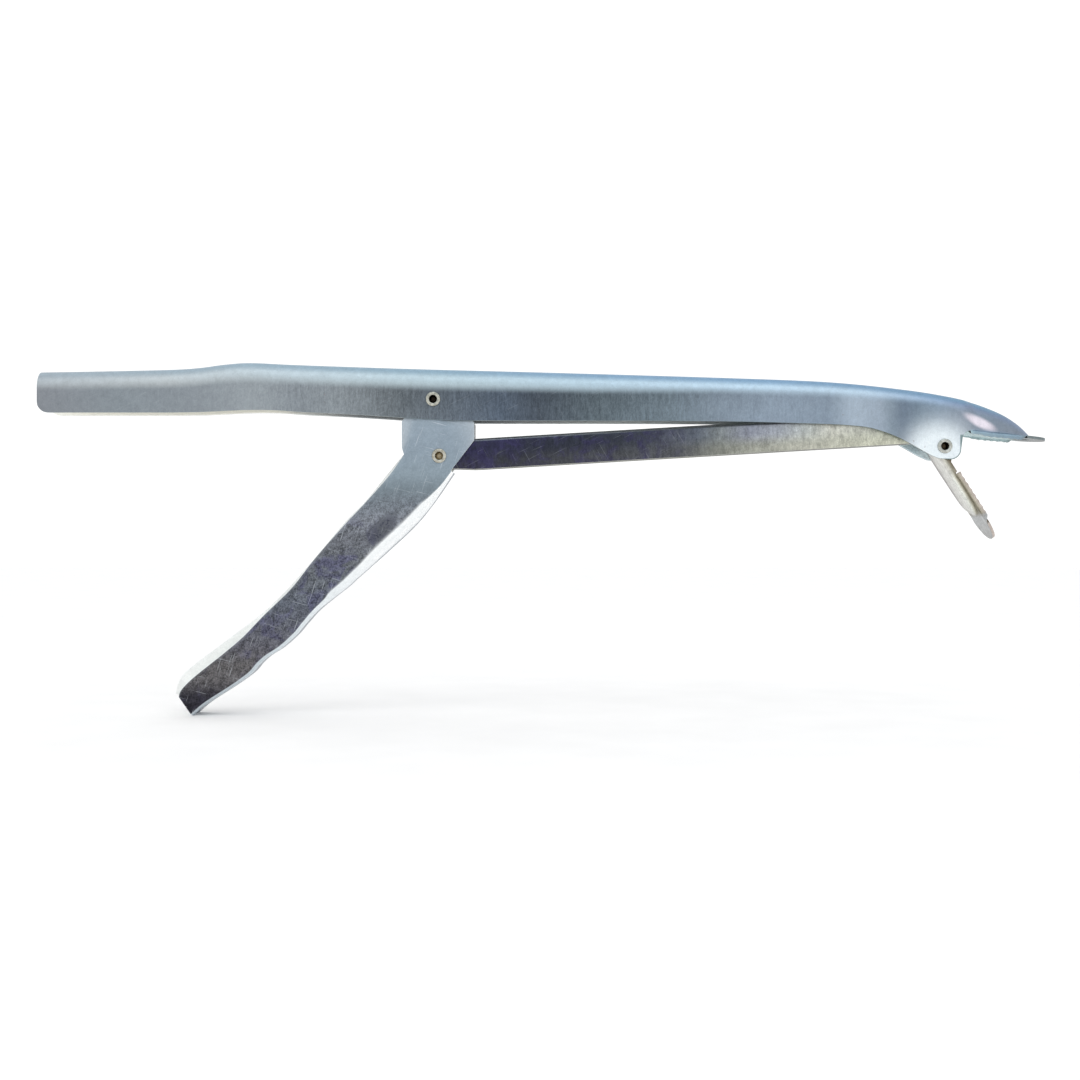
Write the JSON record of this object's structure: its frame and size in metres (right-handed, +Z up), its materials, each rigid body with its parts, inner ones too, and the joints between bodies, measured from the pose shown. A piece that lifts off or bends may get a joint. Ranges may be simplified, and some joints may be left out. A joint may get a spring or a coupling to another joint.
{
  "type": "long reach squeeze gripper",
  "caption": "Pressed steel fish gripper: a long channel body with a fixed spoon-shaped jaw, and a squeeze lever and rod that close the hinged lower jaw.",
  "frame": {"origin": "middle of the underside of the bounding box, below the main pivot and level with the lever's butt", "axes": "+X along the body from the hand grip towards the jaws, +Z up through the rounded back of the channel, Y along the rivets"},
  "size_m": [0.3856, 0.0186, 0.135],
  "materials": {
    "zinc_sheet": "zinc-plated pressed sheet, satin",
    "zinc_sheet_dark": "zinc-plated pressed sheet, mottled and scratched",
    "zinc_sheet_warm": "zinc-plated pressed sheet, slightly tarnished",
    "rivet_steel": "plated tubular rivet",
    "pin_steel": "plain plated pin",
    "spring_wire": "drawn spring wire"
  },
  "bodies": {
    "channel": {"main_channel": "zinc_sheet", "main_pivot_rivet": "rivet_steel", "jaw_pivot_rivet": "rivet_steel", "return_spring": "spring_wire"},
    "lever": {"squeeze_lever": "zinc_sheet_dark", "rod_pivot_rivet": "rivet_steel"},
    "rod": {"connecting_rod": "zinc_sheet_dark"},
    "jaw": {"lower_jaw": "zinc_sheet_warm", "crank_pin": "pin_steel"}
  },
  "joints": [
    {"name": "lever_squeeze", "type": "hinge", "parent": "channel", "child": "lever", "pos_m": [-0.04215, 0, 0.1206], "axis": [0, 1, 0], "range_deg": [0, 23.3], "stiffness_Nm_per_rad": 0.5, "springref_deg": -34.38, "deforming": ["return_spring"]},
    {"name": "rod_on_lever", "type": "hinge", "parent": "lever", "child": "rod", "pos_m": [-0.03995, 0, 0.0991], "axis": [0, 1, 0], "range_deg": [-23, 0]},
    {"name": "jaw_close", "type": "hinge", "parent": "channel", "child": "jaw", "pos_m": [0.15225, 0, 0.1027], "axis": [0, -1, 0], "range_deg": [0, 61.6]}
  ],
  "couplings": [
    {"joint": "rod_on_lever", "follows": "lever_squeeze", "ratio": -0.982},
    {"joint": "jaw_close", "follows": "lever_squeeze", "ratio": 2.64}
  ]
}
